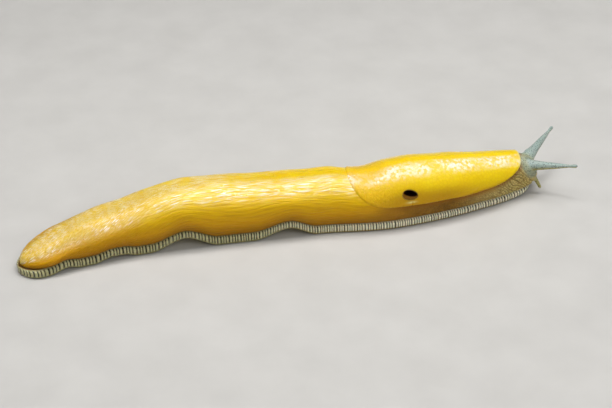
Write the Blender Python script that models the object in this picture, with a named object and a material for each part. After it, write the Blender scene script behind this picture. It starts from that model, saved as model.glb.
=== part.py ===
"""A crawling banana slug at life size, as a still model: one closed solid for each part of the body.

The slug lies along +X with its head at +X and its right side at -Y, and Z = 0 is the floor.
Sizes are in millimetres and become metres where a mesh is made. Stations along the body are measured
from the tip of the tail. The body is a loft of dome-shaped sections on a gently bending line, parted
by thin cuts into the lengths that a person would name: tail, trunk, neck and head. Below it is the
foot with its fringe, on top the mantle with the breathing pore, and in front are the four tentacles.
"""

import functools
import math

import bmesh
import bpy
from mathutils import Matrix, Vector

MM = 0.001
GAP = 0.3  # between two parts that meet

# Driving sizes of the body
BODY_LENGTH = 175.0
ORIGIN = Vector((93.42, 0.07, 0.0))  # the frame's origin, from the tip of the tail

# How the body lies and how thick it is: (station, value) pairs, joined by a smooth curve
ASIDE = (
    (0, 1.4), (5, 2.4), (19, 5.5), (38, 7.1), (65, 5.0), (97, 0.2), (121, -3.6), (136, -4.1), (155, -3.9),
    (165, -3.2), (175, -1.8),
)
LIFT = (
    (0, 0.2), (1.5, 0.0), (7.5, 0.0), (13, 1.2), (18.5, 0.0), (22.5, 0.0), (29, 1.4), (33, 1.2), (38, 0.0),
    (42, 0.0), (54, 4.0), (65, 0.0), (76, 0.0), (88, 3.4), (97, 0.0), (150, 0.0), (159, 0.0), (173, 1.6),
)
HALF_WIDTH = (
    (0, 6.6), (10, 7.6), (23, 8.6), (43, 9.3), (73, 9.8), (99, 9.2), (121, 10.2), (141, 9.4), (155, 7.7),
    (165, 6.4), (175, 5.8),
)
BACK_HEIGHT = (
    (0, 6.7), (7, 7.6), (23, 12.3), (34, 14.0), (43, 16.6), (56, 19.0), (66, 19.2), (76, 18.2), (90, 17.9),
    (102, 18.2), (107, 17.4), (113, 16.8), (121, 18.5), (128, 19.1), (136, 18.1), (146, 16.6), (157, 14.8),
    (175, 11.7),
)
TAIL_START = 1.0
TAIL_ROUNDING, HEAD_ROUNDING = 9.0, 7.0  # the lengths over which the body closes to its tips
TAIL_CLOSES_AT, HEAD_CLOSES_AT = 3.0, 6.0  # heights of the two tips above the sole
WIDEST_SHARE = 0.44  # of the back's height, where the body is widest
SIDE_FULLNESS = 0.90  # under 1 makes the back fuller than an ellipse
KEEL_LENGTH, KEEL_FULLNESS = 30.0, 1.22  # towards the tail's tip the back narrows to a keel
WAIST = 0.9  # how far the body draws in above the foot
SIDE_LENGTH_SHARE = 1.25  # of the back's height, about as long as one side of the body is round its section

# The foot: a flat sole whose edge is a rounded band, the fringe
FOOT_START, FOOT_END = 0.0, 172.0
FRINGE_HEIGHT = ((0, 2.4), (13, 3.2), (53, 3.2), (113, 2.9), (143, 2.6), (173, 2.0))
FRINGE_DEPTH = 1.6
FRINGE_SQUARENESS = 0.75  # under 1 makes the band squarer than round
FOOT_SPREAD = -0.1  # from the body's widest line out to the fringe
FOOT_TAIL_ROUNDING, FOOT_FRONT_ROUNDING = 6.0, 7.0
FOOT_TIP_REACH = 0.4  # half the foot's width at its two ends

# The mantle: the smooth shield over the front third of the back
MANTLE_REAR, MANTLE_FRONT = 107.4, 168.0
MANTLE_REAR_SWEEP, MANTLE_FRONT_SWEEP = 18.0, 29.0  # lengths over which its margin curves down the side
MANTLE_REACH = 0.76  # how far down the side its margin is, as a share of the way to the foot
MANTLE_ROUNDNESS = 2.4  # 2 is an ellipse and more is squarer
MANTLE_THICKNESS = 1.7
MANTLE_STEP = 0.7  # how far it stands proud of the trunk
MANTLE_EDGE, MANTLE_EDGE_THICKNESS = 0.9, 0.6  # the width of its rounded edge, and how thick it is there

# The breathing pore, a hole in the mantle's right side
PORE_AT, PORE_SHARE = 125.4, 0.59
PORE_LENGTH, PORE_HEIGHT, PORE_DEPTH = 6.0, 3.6, 3.6

# Where the body and the foot are cut into lengths, and the colour of each
BODY_LENGTHS = (
    ("tail", 30.0, "yellow_skin"),
    ("trunk_rear", 67.0, "yellow_skin"),
    ("trunk_middle", 107.0, "yellow_skin"),
    ("trunk_front", 138.0, "yellow_skin"),
    ("neck", 166.0, "head_skin"),
    ("head", BODY_LENGTH, "head_skin"),
)
FOOT_LENGTHS = (("foot_tail", 40.0), ("foot_rear", 82.0), ("foot_middle", 126.0), ("foot_front", FOOT_END))

# How finely the lofts are made
SIDE_POINTS, FRINGE_POINTS, MANTLE_POINTS, ROUND_POINTS, OVAL_SEGMENTS = 12, 7, 19, 10, 12
BODY_STEP, FOOT_STEP, TENTACLE_STEP = 4.0, 2.5, 1.5
MANTLE_STEPS, ROUNDING_STEPS, OUTLINE_STEPS = 24, 6, 24
TIP_TURN = 5.0  # how many degrees of a rounded end are left at its last section
SHARP_EDGE = 50.0  # faces that meet at more degrees than this have a sharp edge between them

# Upper tentacles: the long pair, with an eye at each tip
UPPER_ROOTS = {"left": (172.2, 1.3), "right": (169.1, -1.9)}  # (station, out to the left)
UPPER_ROOT_HEIGHT = 9.3
UPPER_LENGTH, UPPER_BEND = {"left": 18.25, "right": 17.45}, 0.2
UPPER_HEADING = {"left": 38.0, "right": -39.7}  # degrees from +X
UPPER_PITCH = {"left": 8.4, "right": 10.3}
UPPER_RADII = (
    (0.0, 1.9), (0.12, 2.15), (0.3, 1.72), (0.5, 1.3), (0.66, 1.0), (0.82, 0.62), (0.9, 0.48), (0.96, 0.58),
    (1.0, 0.52),
)
UPPER_LENGTHS = (("base", 0.0, 0.34), ("stalk", 0.34, 0.70), ("tip", 0.70, 1.0))
EYE_RADIUS, EYE_GAP, EYE_PROUD = 0.4, 0.15, 0.35

# Lower tentacles: the short pair beside the mouth
LOWER_ROOTS = {"left": (172.0, 2.6), "right": (172.0, -2.6)}
LOWER_ROOT_HEIGHT = 5.2
LOWER_LENGTH, LOWER_BEND = 5.6, -0.3
LOWER_HEADING = {"left": 62.0, "right": -66.0}
LOWER_PITCH = -40.0
LOWER_RADII = ((0.0, 1.0), (0.3, 0.85), (0.7, 0.6), (0.92, 0.55), (1.0, 0.4))
SOCKET_SHARE = 0.55  # of a tentacle's length, over which its socket is cut clear of the head

# The lips, below the front of the head, parted by the mouth
LIPS_AT, LIPS_HEIGHT = 173.9, 3.4
LIPS_LENGTH, LIPS_WIDTH, LIPS_THICKNESS = 3.0, 4.8, 2.8
MOUTH_WIDTH, MOUTH_DEPTH = 0.5, 0.9

COLOURS = {
    "yellow_skin": ((0.85, 0.60, 0.02), 0.32),
    "mantle_skin": ((0.88, 0.66, 0.02), 0.28),
    "head_skin": ((0.30, 0.27, 0.12), 0.38),
    "tentacle_skin": ((0.33, 0.36, 0.30), 0.35),
    "foot_fringe": ((0.36, 0.34, 0.20), 0.35),
    "eye": ((0.01, 0.01, 0.012), 0.15),
}


def curve(points, at):
    """The value at a station, on a smooth curve through (station, value) pairs that never overshoots."""
    at = min(max(at, points[0][0]), points[-1][0])
    k = max(i for i in range(len(points) - 1) if points[i][0] <= at)

    def rise(i):
        return (points[i + 1][1] - points[i][1]) / (points[i + 1][0] - points[i][0])

    def slope(i):
        if i == 0 or i == len(points) - 1:
            return rise(min(i, len(points) - 2))
        before, after = rise(i - 1), rise(i)
        return 2 * before * after / (before + after) if before * after > 0 else 0.0

    width = points[k + 1][0] - points[k][0]
    t = (at - points[k][0]) / width
    return (
        (2 * t**3 - 3 * t**2 + 1) * points[k][1]
        + (t**3 - 2 * t**2 + t) * width * slope(k)
        + (3 * t**2 - 2 * t**3) * points[k + 1][1]
        + (t**3 - t**2) * width * slope(k + 1)
    )


def round_end(distance, length):
    """From 0 at a rounded end to 1 once the distance from it reaches the length."""
    t = min(1.0, max(0.0, distance / length))
    return math.sqrt(1 - (1 - t) ** 2)


def spaced(first, last, count):
    return [first + (last - first) * k / (count - 1) for k in range(count)]


def stations(first, last, step, rounding_at_first=0.0, rounding_at_last=0.0):
    """Stations about a step apart, and closer together over a rounded end, which the last is just short of."""
    turns = spaced(math.radians(TIP_TURN), math.pi / 2, ROUNDING_STEPS + 1)[:-1]
    depths = [1 - math.cos(turn) for turn in turns]
    start, end = first + rounding_at_first, last - rounding_at_last
    opening = [first + rounding_at_first * depth for depth in depths] if rounding_at_first else []
    closing = [last - rounding_at_last * depth for depth in reversed(depths)] if rounding_at_last else []
    middle = spaced(start, end, max(2, round((end - start) / step) + 1)) if end > start else [start]
    return opening + middle + closing


def body_tangent(at):
    """The way along the body at a station, seen from above."""
    step = 0.5
    return Vector((2 * step, curve(ASIDE, at + step) - curve(ASIDE, at - step), 0.0)).normalized()


def place(at, out, up):
    """A point of the section at a station, out to the slug's left and up from the sole, in metres.

    Where the sole arches off the floor, the section above it is lifted less and less towards the back.
    """
    tangent = body_tangent(at)
    lifted = up + curve(LIFT, at) * max(0.0, 1 - up / curve(BACK_HEIGHT, at))
    line = Vector((at, curve(ASIDE, at), lifted))
    return (line + Vector((-tangent.y, tangent.x, 0.0)) * out - ORIGIN) * MM


@functools.cache
def side_outline(at):
    """One side of the body's section, from the middle of the back to the foot, as (out, up) points."""
    swell = round_end(at - TAIL_START, TAIL_ROUNDING) * round_end(BODY_LENGTH - at, HEAD_ROUNDING)
    closes = TAIL_CLOSES_AT if at < BODY_LENGTH / 2 else HEAD_CLOSES_AT
    belly = closes - (closes - curve(FRINGE_HEIGHT, at) - GAP) * swell
    top = closes + (curve(BACK_HEIGHT, at) - closes) * swell
    half_width = curve(HALF_WIDTH, at) * swell
    waist = half_width - WAIST * swell
    widest = belly + (top - belly) * WIDEST_SHARE
    keel = max(0.0, 1 - at / KEEL_LENGTH)
    fullness = SIDE_FULLNESS + (KEEL_FULLNESS - SIDE_FULLNESS) * keel
    turns = [math.radians(90 * k / OUTLINE_STEPS) for k in range(OUTLINE_STEPS + 1)]
    back = [(half_width * math.sin(a) ** fullness, widest + (top - widest) * math.cos(a)) for a in turns]
    flank = [
        (waist + (half_width - waist) * math.cos(a), widest - (widest - belly) * math.sin(a)) for a in turns[1:]
    ]
    return back + flank


def on_side(at, share, proud=0.0):
    """The (out, up) point a share of the way down the side, from -1 on the right to 1 on the left."""
    outline = side_outline(at)
    steps = [(p, q, math.dist(p, q)) for p, q in zip(outline, outline[1:])]
    left = abs(share) * sum(length for p, q, length in steps)
    for p, q, length in steps:
        if left <= length:
            break
        left -= length
    t = min(1.0, left / length)
    along = ((q[0] - p[0]) / length, (q[1] - p[1]) / length)
    out = p[0] + (q[0] - p[0]) * t - along[1] * proud
    up = p[1] + (q[1] - p[1]) * t + along[0] * proud
    return math.copysign(out, share), up


def skin_material(name):
    material = bpy.data.materials.get(name)
    if material is None:
        colour, roughness = COLOURS[name]
        material = bpy.data.materials.new(name)
        material.use_nodes = True
        shader = material.node_tree.nodes["Principled BSDF"]
        shader.inputs["Base Color"].default_value = (*colour, 1.0)
        shader.inputs["Roughness"].default_value = roughness
        shader.inputs["Metallic"].default_value = 0.0
    return material


def new_object(name, shape, collection):
    mesh = bpy.data.meshes.new(name)
    bmesh.ops.triangulate(shape, faces=shape.faces)
    bmesh.ops.recalc_face_normals(shape, faces=shape.faces)
    shape.to_mesh(mesh)
    shape.free()
    thing = bpy.data.objects.new(name, mesh)
    bpy.data.collections[collection].objects.link(thing)
    return thing


def new_part(name, shape, material):
    """A part of the slug, smooth except at its cut ends."""
    part = new_object(name, shape, "banana_slug")
    part.data.shade_smooth()
    part.data.set_sharp_from_angle(angle=math.radians(SHARP_EDGE))
    part.data.materials.append(skin_material(material))
    return part


def cut(parts, name, shape, solver="EXACT"):
    """Cut a shape out of each of the parts."""
    cutter = new_object(name, shape, "cutters")
    cutter.hide_render = True
    cutter.display_type = "WIRE"
    for part in parts:
        boolean = part.modifiers.new(name, "BOOLEAN")
        boolean.operation = "DIFFERENCE"
        boolean.solver = solver
        boolean.object = cutter


def loft(rings):
    """A closed shape through rings of points, each with as many points as the next, with flat ends."""
    shape = bmesh.new()
    rows = [[shape.verts.new(point) for point in ring] for ring in rings]
    count = len(rows[0])
    for near, far in zip(rows, rows[1:]):
        for k in range(count):
            shape.faces.new((near[k], near[(k + 1) % count], far[(k + 1) % count], far[k]))
    shape.faces.new(reversed(rows[0]))
    shape.faces.new(rows[-1])
    return shape


def body_ring(at):
    """A section of the body: down its left side, across the belly, and up its right side."""
    left = [on_side(at, share) for share in spaced(0.0, 1.0, SIDE_POINTS + 1)]
    right = [(-out, up) for out, up in left[:0:-1]]
    return [place(at, out, up) for out, up in left + right]


def make_body():
    """The body above the foot, cut into its lengths."""
    parts = {}
    first = TAIL_START
    for name, last, material in BODY_LENGTHS:
        if name == "tail":
            chosen = stations(first, last - GAP / 2, BODY_STEP, rounding_at_first=TAIL_ROUNDING)
        elif name == "head":
            chosen = stations(first, last, BODY_STEP, rounding_at_last=last - first)
        else:
            chosen = stations(first, last - GAP / 2, BODY_STEP)
        parts[name] = new_part(name, loft([body_ring(at) for at in chosen]), material)
        first = last + GAP / 2
    return parts


def foot_ring(at):
    """A section of the foot: a flat sole and top, with a rounded band at each side."""
    swell = round_end(at, FOOT_TAIL_ROUNDING) * round_end(FOOT_END - at, FOOT_FRONT_ROUNDING)
    half_height = curve(FRINGE_HEIGHT, at) / 2
    reach = max(FOOT_TIP_REACH, (curve(HALF_WIDTH, at) + FOOT_SPREAD) * swell)
    depth = min(FRINGE_DEPTH, reach)
    left = []
    for turn in spaced(math.pi / 2, -math.pi / 2, FRINGE_POINTS):
        bulge = max(0.0, math.cos(turn)) ** FRINGE_SQUARENESS
        height = math.copysign(abs(math.sin(turn)) ** FRINGE_SQUARENESS, math.sin(turn))
        left.append((reach - depth + depth * bulge, half_height * (1 + height)))
    right = [(-out, up) for out, up in reversed(left)]
    return [place(at, out, up) for out, up in left + right]


def make_foot():
    first = FOOT_START
    for name, last in FOOT_LENGTHS:
        if name == "foot_tail":
            chosen = stations(first, last - GAP / 2, FOOT_STEP, rounding_at_first=FOOT_TAIL_ROUNDING)
        elif name == "foot_front":
            chosen = stations(first, last, FOOT_STEP, rounding_at_last=FOOT_FRONT_ROUNDING)
        else:
            chosen = stations(first, last - GAP / 2, FOOT_STEP)
        new_part(name, loft([foot_ring(at) for at in chosen]), "foot_fringe")
        first = last + GAP / 2


def side_length(at):
    return SIDE_LENGTH_SHARE * curve(BACK_HEIGHT, at)


def mantle_share(at, spread):
    """How far down the side the mantle's margin is at a station, or a line outside it by the spread."""
    rear = min(1.0, (at - MANTLE_REAR + spread) / MANTLE_REAR_SWEEP)
    front = min(1.0, (MANTLE_FRONT + spread - at) / MANTLE_FRONT_SWEEP)
    n = MANTLE_ROUNDNESS
    sweep = (1 - (1 - rear) ** n) ** (1 / n) * (1 - (1 - front) ** n) ** (1 / n)
    return MANTLE_REACH * sweep + (spread - GAP) / side_length(at)


def mantle_ring(at, spread=GAP, above=0.0, below=0.0):
    """A section of the mantle from margin to margin and back along its underside, or of its bed."""
    margin = mantle_share(at, spread)
    over, under = [], []
    for side in spaced(-1.0, 1.0, MANTLE_POINTS):
        from_edge = (1 - abs(side)) * margin * side_length(at)
        inner = MANTLE_STEP - MANTLE_THICKNESS
        rounding = round_end(from_edge, MANTLE_EDGE)
        thickness = MANTLE_EDGE_THICKNESS + (MANTLE_THICKNESS - MANTLE_EDGE_THICKNESS) * rounding
        over.append(on_side(at, side * margin, inner + thickness + above))
        under.append(on_side(at, side * margin, inner - below))
    return [place(at, out, up) for out, up in over + under[::-1]]


def make_mantle(trunk_front, neck, head):
    """The mantle, in a bed that it leaves a gap to all round."""
    middle, half = (MANTLE_REAR + MANTLE_FRONT) / 2, (MANTLE_FRONT - MANTLE_REAR) / 2
    turns = [-math.cos(math.pi * k / MANTLE_STEPS) for k in range(MANTLE_STEPS + 1)]
    mantle = new_part("mantle", loft([mantle_ring(middle + half * turn) for turn in turns]), "mantle_skin")
    grown = half + GAP
    bed = [mantle_ring(middle + grown * turn, 2 * GAP, MANTLE_THICKNESS, GAP) for turn in turns]
    cut((trunk_front, neck, head), "mantle_bed", loft(bed))
    return mantle


def oval(centre, axes, sizes):
    """An ellipsoid: its centre in metres, three directions, and its size along each in millimetres."""
    shape = bmesh.new()
    bmesh.ops.create_uvsphere(shape, u_segments=OVAL_SEGMENTS, v_segments=OVAL_SEGMENTS // 2, radius=0.5)
    turn = Matrix(axes).transposed().to_4x4()
    scale = Matrix.Diagonal([size * MM for size in sizes]).to_4x4()
    shape.transform(Matrix.Translation(centre) @ turn @ scale)
    return shape


def cut_pore(parts):
    """The breathing pore, through the mantle and a little way into the trunk."""
    centre = place(PORE_AT, *on_side(PORE_AT, -PORE_SHARE, MANTLE_STEP))
    within = place(PORE_AT, *on_side(PORE_AT, -PORE_SHARE, MANTLE_STEP - PORE_DEPTH))
    outward = (centre - within).normalized()
    down = outward.cross(body_tangent(PORE_AT)).normalized()
    along = down.cross(outward)
    cut(parts, "pore", oval(centre, (along, down, outward), (PORE_LENGTH, PORE_HEIGHT, 2 * PORE_DEPTH)))


def tentacle_path(root, height, heading, pitch):
    """Where a tentacle starts, in metres, the way along it, and two ways across it."""
    heading, pitch = math.radians(heading), math.radians(pitch)
    way = Vector((math.cos(heading) * math.cos(pitch), math.sin(heading) * math.cos(pitch), math.sin(pitch)))
    across = way.cross(Vector((0.0, 0.0, 1.0))).normalized()
    return place(root[0], root[1], height), way, across, across.cross(way)


def tentacle_spot(path, length, bend, t):
    """A point on a tentacle's middle line, at a share of its length."""
    start, way, across, upward = path
    return start + (way * length * t + upward * bend * t * t) * MM


def tentacle(path, length, bend, radii, first, last, grow=0.0):
    """A length of a tentacle: a tapering round tube."""
    way, across, upward = path[1:]
    rings = []
    count = max(3, round((last - first) * length / TENTACLE_STEP) + 1)
    for t in spaced(first, last, count):
        middle = tentacle_spot(path, length, bend, t)
        radius = (curve(radii, t) + grow) * MM
        turns = [2 * math.pi * k / ROUND_POINTS for k in range(ROUND_POINTS)]
        rings.append([middle + (across * math.cos(a) + upward * math.sin(a)) * radius for a in turns])
    return loft(rings)


def make_upper_tentacle(side, parts):
    """A long tentacle in three lengths, with its socket in the parts round its root and its eye."""
    path = tentacle_path(UPPER_ROOTS[side], UPPER_ROOT_HEIGHT, UPPER_HEADING[side], UPPER_PITCH[side])
    reach = UPPER_LENGTH[side]
    half_gap = GAP / 2 / reach
    for name, first, last in UPPER_LENGTHS:
        start = first + half_gap if first > 0 else first
        end = last - half_gap if last < 1 else last
        shape = tentacle(path, reach, UPPER_BEND, UPPER_RADII, start, end)
        length = new_part(f"upper_tentacle_{side}_{name}", shape, "tentacle_skin")
    behind = -GAP / reach
    socket = tentacle(path, reach, UPPER_BEND, UPPER_RADII, behind, SOCKET_SHARE, GAP)
    # the two sockets nearly touch inside the head, where the exact solver fails
    cut(parts, f"upper_socket_{side}", socket, "MANIFOLD")
    centre = tentacle_spot(path, reach, UPPER_BEND, 1.0) + path[1] * EYE_PROUD * MM
    size = 2 * EYE_RADIUS
    new_part(f"eye_{side}", oval(centre, path[1:], (size, size, size)), "eye")
    hollow = size + 2 * EYE_GAP
    cut([length], f"eye_socket_{side}", oval(centre, path[1:], (hollow, hollow, hollow)))


def make_lower_tentacle(side, parts):
    path = tentacle_path(LOWER_ROOTS[side], LOWER_ROOT_HEIGHT, LOWER_HEADING[side], LOWER_PITCH)
    shape = tentacle(path, LOWER_LENGTH, LOWER_BEND, LOWER_RADII, 0.0, 1.0)
    new_part(f"lower_tentacle_{side}", shape, "tentacle_skin")
    behind = -GAP / LOWER_LENGTH
    socket = tentacle(path, LOWER_LENGTH, LOWER_BEND, LOWER_RADII, behind, SOCKET_SHARE, GAP)
    cut(parts, f"lower_socket_{side}", socket)


def make_lips(parts):
    """The lips as one oval cushion with the mouth's slit down its front."""
    centre = place(LIPS_AT, 0.0, LIPS_HEIGHT)
    along = body_tangent(LIPS_AT)
    axes = (along, Vector((-along.y, along.x, 0.0)), Vector((0.0, 0.0, 1.0)))
    sizes = (LIPS_LENGTH, LIPS_WIDTH, LIPS_THICKNESS)
    lips = new_part("lips", oval(centre, axes, sizes), "head_skin")
    cut(parts, "lips_bed", oval(centre, axes, [size + 2 * GAP for size in sizes]))
    slit = bmesh.new()
    bmesh.ops.create_cube(slit, size=1.0)
    turn = Matrix(axes).transposed().to_4x4()
    scale = Matrix.Diagonal((LIPS_LENGTH * MM, MOUTH_WIDTH * MM, 2 * LIPS_THICKNESS * MM, 1.0))
    front = centre + along * (LIPS_LENGTH - MOUTH_DEPTH) * MM
    slit.transform(Matrix.Translation(front) @ turn @ scale)
    cut([lips], "mouth", slit)


def main():
    for old in list(bpy.data.objects):
        bpy.data.objects.remove(old)
    for name in ("banana_slug", "cutters"):
        collection = bpy.data.collections.new(name)
        bpy.context.scene.collection.children.link(collection)
    body = make_body()
    make_foot()
    mantle = make_mantle(body["trunk_front"], body["neck"], body["head"])
    cut_pore((mantle, body["trunk_front"]))
    for side in ("left", "right"):
        make_upper_tentacle(side, (body["head"], mantle))
        make_lower_tentacle(side, [body["head"]])
    make_lips([body["head"]])


main()
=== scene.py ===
"""A crawling banana slug at life size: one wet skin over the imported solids, and the two eyes.

Sizes are in millimetres and become metres where a mesh is made. Stations along the body are measured from
the tip of the tail, and a point's place round the body from the middle of the back, to the left and right.
"""

import itertools
import math

import bpy
import numpy as np
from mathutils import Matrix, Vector, kdtree


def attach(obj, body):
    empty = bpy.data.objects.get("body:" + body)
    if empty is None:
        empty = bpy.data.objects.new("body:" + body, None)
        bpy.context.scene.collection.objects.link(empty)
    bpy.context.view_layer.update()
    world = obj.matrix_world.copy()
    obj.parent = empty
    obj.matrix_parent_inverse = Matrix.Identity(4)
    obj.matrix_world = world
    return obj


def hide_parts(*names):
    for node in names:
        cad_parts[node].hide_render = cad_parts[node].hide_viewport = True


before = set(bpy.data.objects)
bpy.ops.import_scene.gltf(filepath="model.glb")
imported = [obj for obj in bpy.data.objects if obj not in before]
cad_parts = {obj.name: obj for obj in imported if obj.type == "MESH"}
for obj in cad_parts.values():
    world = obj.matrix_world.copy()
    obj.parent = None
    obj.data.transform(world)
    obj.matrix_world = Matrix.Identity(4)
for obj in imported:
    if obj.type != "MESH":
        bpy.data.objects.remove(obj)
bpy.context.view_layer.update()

# The body
# One muscular sack from the tip of the tail to the snout, with a keel along the tail and lengthwise furrows.
# It is lofted from dome-shaped sections on a gently bending line, lifted where the sole arches off the floor.

MM = 0.001
BODY_LENGTH = 175.0
ORIGIN = np.array((93.42, 0.07, 0.0))  # the frame's origin, from the tip of the tail
# (station, value) pairs: how far aside the body's line is, how far it is lifted, and the sections' sizes
ASIDE = (
    (0, 1.4), (5, 2.4), (19, 5.5), (38, 7.1), (65, 5.0), (97, 0.2), (121, -3.6), (136, -4.1), (155, -3.9),
    (165, -3.2), (175, -1.8),
)
LIFT = (
    (0, 0.2), (1.5, 0.0), (7.5, 0.0), (13, 1.2), (18.5, 0.0), (22.5, 0.0), (29, 1.4), (33, 1.2), (38, 0.0),
    (42, 0.0), (54, 4.0), (65, 0.0), (76, 0.0), (88, 3.4), (97, 0.0), (150, 0.0), (159, 0.0), (173, 1.6),
)
HALF_WIDTH = (
    (0, 6.6), (10, 7.6), (23, 8.6), (43, 9.3), (73, 9.8), (99, 9.2), (121, 10.2), (141, 9.4), (155, 7.7),
    (165, 6.4), (175, 5.8),
)
BACK_HEIGHT = (
    (0, 6.7), (7, 7.6), (23, 12.3), (34, 14.0), (43, 16.6), (56, 19.0), (66, 19.2), (76, 18.2), (90, 17.9),
    (102, 18.2), (107, 17.4), (113, 16.8), (121, 18.5), (128, 19.1), (136, 18.1), (146, 16.6), (157, 14.8),
    (175, 11.7),
)
FRINGE_HEIGHT = ((0, 2.4), (13, 3.2), (53, 3.2), (113, 2.9), (143, 2.6), (173, 2.0))
TAIL_START, TAIL_ROUNDING, TAIL_CLOSES_AT = 1.0, 9.0, 3.0
HEAD_ROUNDING, HEAD_CLOSES_AT = 7.0, 6.0
GAP = 0.3  # between the sack's lower edge and the fringe
WAIST, WIDEST_SHARE, SIDE_FULLNESS = 0.9, 0.44, 0.90
KEEL_LENGTH, KEEL_FULLNESS = 30.0, 1.22
SIDE_LENGTH_SHARE = 1.25
RING_STEP, TIP_TURN = 0.15, 2.0
SIDE_COLUMNS, OUTLINE_STEPS = 121, 48


def curve(points, at):
    """The values at some stations, on a smooth curve through (station, value) pairs that never overshoots."""
    x, y = np.array(points, float).T
    width, rise = np.diff(x), np.diff(y) / np.diff(x)
    before, after = rise[:-1], rise[1:]
    bends = before * after > 0
    between = np.where(bends, 2 * before * after / np.where(bends, before + after, 1), 0)
    slope = np.concatenate(([rise[0]], between, [rise[-1]]))
    at = np.clip(at, x[0], x[-1])
    k = np.clip(np.searchsorted(x, at, side="right") - 1, 0, len(width) - 1)
    t = (at - x[k]) / width[k]
    return (
        (2 * t**3 - 3 * t**2 + 1) * y[k]
        + (t**3 - 2 * t**2 + t) * width[k] * slope[k]
        + (3 * t**2 - 2 * t**3) * y[k + 1]
        + (t**3 - t**2) * width[k] * slope[k + 1]
    )


def round_end(distance, length):
    """From 0 at a rounded end to 1 once the distance from it reaches the length."""
    return np.sqrt(1 - (1 - np.clip(distance / length, 0, 1)) ** 2)


def fade(low, high, value):
    """From 0 at the low value to 1 at the high one, gently at both ends."""
    t = np.clip((value - low) / (high - low), 0, 1)
    return t * t * (3 - 2 * t)


def bell(value, middle, width):
    """From 1 at the middle down to 0 a few widths away from it."""
    return np.exp(-(((value - middle) / width) ** 2))


def way_along(at):
    """The way along the body at some stations, seen from above."""
    step = 0.5
    slope = (curve(ASIDE, at + step) - curve(ASIDE, at - step)) / (2 * step)
    return np.stack((np.ones_like(slope), slope), -1) / np.hypot(1, slope)[..., None]


def place(at, out, up):
    """Points of the sections at some stations, out to the slug's left and up from the sole, in metres."""
    at, out, up = np.broadcast_arrays(*(np.asarray(value, float) for value in (at, out, up)))
    way = way_along(at)
    lifted = up + curve(LIFT, at) * np.maximum(0, 1 - up / curve(BACK_HEIGHT, at))
    points = np.stack((at - way[..., 1] * out, curve(ASIDE, at) + way[..., 0] * out, lifted), -1)
    return (points - ORIGIN) * MM


def side_outlines(at):
    """One side of each section, from the middle of the back to the foot, as rows of out and up."""
    at = at[:, None]
    swell = round_end(at - TAIL_START, TAIL_ROUNDING) * round_end(BODY_LENGTH - at, HEAD_ROUNDING)
    closes = np.where(at < BODY_LENGTH / 2, TAIL_CLOSES_AT, HEAD_CLOSES_AT)
    belly = closes - (closes - curve(FRINGE_HEIGHT, at) - GAP) * swell
    top = closes + (curve(BACK_HEIGHT, at) - closes) * swell
    half_width = curve(HALF_WIDTH, at) * swell
    waist = half_width - WAIST * swell
    widest = belly + (top - belly) * WIDEST_SHARE
    fullness = SIDE_FULLNESS + (KEEL_FULLNESS - SIDE_FULLNESS) * np.maximum(0, 1 - at / KEEL_LENGTH)
    turns = np.linspace(0, math.pi / 2, OUTLINE_STEPS + 1)
    back = half_width * np.sin(turns) ** fullness, widest + (top - widest) * np.cos(turns)
    flank = waist + (half_width - waist) * np.cos(turns[1:]), widest - (widest - belly) * np.sin(turns[1:])
    out, up = (np.concatenate((b, f), 1) for b, f in zip(back, flank))
    reach = np.cumsum(np.hypot(np.diff(out, prepend=0), np.diff(up, prepend=up[:, :1])), 1)
    shares = np.linspace(0, 1, SIDE_COLUMNS)
    even = [
        (np.interp(shares * r[-1], r, o), np.interp(shares * r[-1], r, u)) for r, o, u in zip(reach, out, up)
    ]
    out, up = np.array(even).transpose(1, 0, 2)
    return out, up


def side_length(at):
    """How long one side of each section is, from the middle of the back to the foot."""
    return SIDE_LENGTH_SHARE * curve(BACK_HEIGHT, at)


CELL_MIXING, SALT_MIXING, MIXED_SCALE = np.array((12.9898, 78.233, 37.719)), 11.135, 43758.5453
CELL_MARGIN, FAR = 0.1, 9.0


def scatter(cells, salt):
    """A number from 0 to 1 for each cell that looks random but is always the same."""
    number = np.sin(cells @ CELL_MIXING[: cells.shape[-1]] + salt * SALT_MIXING) * MIXED_SCALE
    return number - np.floor(number)


def cell_edges(spots, salt):
    """How far points are from the edge of their cell, where scattered cells about one unit wide meet."""
    home = np.floor(spots)
    nearest, second = np.full(len(spots), FAR), np.full(len(spots), FAR)
    for step in itertools.product((-1, 0, 1), repeat=spots.shape[1]):
        cells = home + step
        middles = np.stack([scatter(cells, salt + axis) for axis in range(len(step))], -1)
        away = np.linalg.norm(cells + CELL_MARGIN + (1 - 2 * CELL_MARGIN) * middles - spots, axis=1)
        second = np.minimum(second, np.maximum(nearest, away))
        nearest = np.minimum(nearest, away)
    return second - nearest


FURROW_LENGTH = ((0, 2.8), (25, 3.2), (45, 5.0), (70, 8.0), (175, 8.0))  # from fork to fork, along the body
FURROW_SPACING = 0.8
FURROW_DEPTH = ((0, 0.12), (12, 0.16), (30, 0.16), (60, 0.1), (110, 0.09), (175, 0.09))
FURROW_SLANT = ((0, 0.7), (25, 0.55), (60, 0.0), (175, 0.0))  # out from the back for each length along it
FURROW_SHARPNESS = 0.22
LONG_FURROW_WIDTH, FAINTEST, FAINT_UNTIL = 0.2, 0.3, 0.7  # as shares of the spacing and of the full depth
TABLE_STEP, SPACED_AT, SLANT_STARTS = 0.5, 90.0, 2.0


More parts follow.
